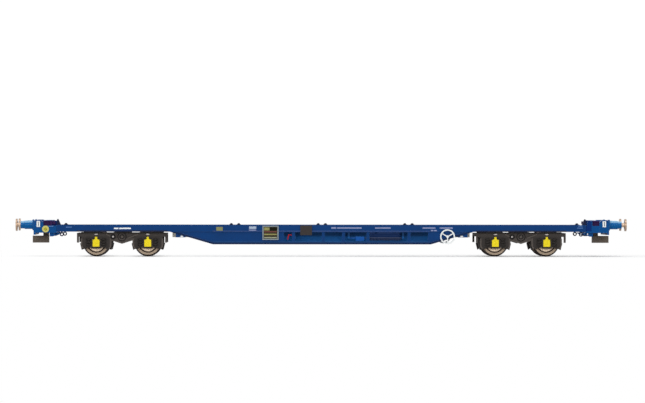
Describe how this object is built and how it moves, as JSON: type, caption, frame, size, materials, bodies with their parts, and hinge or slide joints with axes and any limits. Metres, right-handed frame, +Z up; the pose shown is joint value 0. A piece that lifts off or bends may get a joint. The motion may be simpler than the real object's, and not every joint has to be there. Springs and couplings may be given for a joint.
{
  "type": "model railway container flat wagon",
  "caption": "Model railway bogie flat wagon for containers, with fish-bellied side girders, raised buffer ends, swivelling bogies and free-running wheelsets.",
  "frame": {"origin": "middle of the wagon on the plane where the wheel flanges stand", "axes": "+X along the wagon towards end b, +Y to its left side, +Z up; the modelled side faces -Y"},
  "size_m": [0.28, 0.0346, 0.0173],
  "materials": {
    "frame_blue": "satin paint",
    "end_blue": "satin paint",
    "deck_blue": "satin paint",
    "buffer_blue": "satin paint",
    "buffer_metal": "darkened metal",
    "bogie_black": "matt",
    "cover_yellow": "matt paint",
    "wheel_metal": "turned and darkened",
    "axle_metal": "turned",
    "coupling_grey": "matt",
    "fitting_black": "matt",
    "handwheel_white": "matt paint",
    "placard_black": "matt",
    "indicator_yellow": "matt paint",
    "lever_red": "matt paint",
    "brake_blue": "matt paint",
    "rod_grey": "matt"
  },
  "bodies": {
    "chassis": {"air_reservoir": "brake_blue", "bolster_a": "deck_blue", "bolster_b": "deck_blue", "brake_cylinder": "brake_blue", "brake_pipes": "rod_grey", "brake_valve_left": "brake_blue", "brake_valve_right": "brake_blue", "buffer_heads_a": "buffer_metal", "buffer_heads_b": "buffer_metal", "buffer_housings_a": "buffer_blue", "buffer_housings_b": "buffer_blue", "centre_sill": "deck_blue", "container_guides": "fitting_black", "container_spigots": "fitting_black", "coupling_pocket_a": "coupling_grey", "coupling_pocket_b": "coupling_grey", "cross_bearers": "deck_blue", "draw_hook_a": "fitting_black", "draw_hook_b": "fitting_black", "end_frame_a": "end_blue", "end_frame_b": "end_blue", "end_sills": "deck_blue", "floor_braces": "deck_blue", "girder_left": "frame_blue", "girder_right": "frame_blue", "handwheel_left": "handwheel_white", "handwheel_right": "handwheel_white", "headstock_a": "end_blue", "headstock_b": "end_blue", "indicator_left": "indicator_yellow", "indicator_right": "indicator_yellow", "pivot_screws": "axle_metal", "placard_left": "placard_black", "placard_right": "placard_black", "pull_rods": "rod_grey", "release_lever_left": "lever_red", "release_lever_right": "lever_red", "tie_rings": "fitting_black"},
    "bogie_a": {"bogie_a_axlebox_covers": "cover_yellow", "bogie_a_bolster": "bogie_black", "bogie_a_brake_blocks": "bogie_black", "bogie_a_side_left": "bogie_black", "bogie_a_side_right": "bogie_black", "bogie_a_transoms": "bogie_black"},
    "wheelset_a1": {"axle_a1": "axle_metal", "wheels_a1": "wheel_metal"},
    "wheelset_a2": {"axle_a2": "axle_metal", "wheels_a2": "wheel_metal"},
    "bogie_b": {"bogie_b_axlebox_covers": "cover_yellow", "bogie_b_bolster": "bogie_black", "bogie_b_brake_blocks": "bogie_black", "bogie_b_side_left": "bogie_black", "bogie_b_side_right": "bogie_black", "bogie_b_transoms": "bogie_black"},
    "wheelset_b1": {"axle_b1": "axle_metal", "wheels_b1": "wheel_metal"},
    "wheelset_b2": {"axle_b2": "axle_metal", "wheels_b2": "wheel_metal"}
  },
  "joints": [
    {"name": "bogie_a_swivel", "type": "hinge", "parent": "chassis", "child": "bogie_a", "pos_m": [-0.0914, 0, 0.01128], "axis": [0, 0, 1], "range_deg": [-15, 15]},
    {"name": "wheelset_a1_spin", "type": "hinge", "parent": "bogie_a", "child": "wheelset_a1", "pos_m": [-0.1032, 0, 0.0063], "axis": [0, 1, 0], "continuous": true},
    {"name": "wheelset_a2_spin", "type": "hinge", "parent": "bogie_a", "child": "wheelset_a2", "pos_m": [-0.0796, 0, 0.0063], "axis": [0, 1, 0], "continuous": true},
    {"name": "bogie_b_swivel", "type": "hinge", "parent": "chassis", "child": "bogie_b", "pos_m": [0.0914, 0, 0.01128], "axis": [0, 0, 1], "range_deg": [-15, 15]},
    {"name": "wheelset_b1_spin", "type": "hinge", "parent": "bogie_b", "child": "wheelset_b1", "pos_m": [0.0796, 0, 0.0063], "axis": [0, 1, 0], "continuous": true},
    {"name": "wheelset_b2_spin", "type": "hinge", "parent": "bogie_b", "child": "wheelset_b2", "pos_m": [0.1032, 0, 0.0063], "axis": [0, 1, 0], "continuous": true}
  ]
}
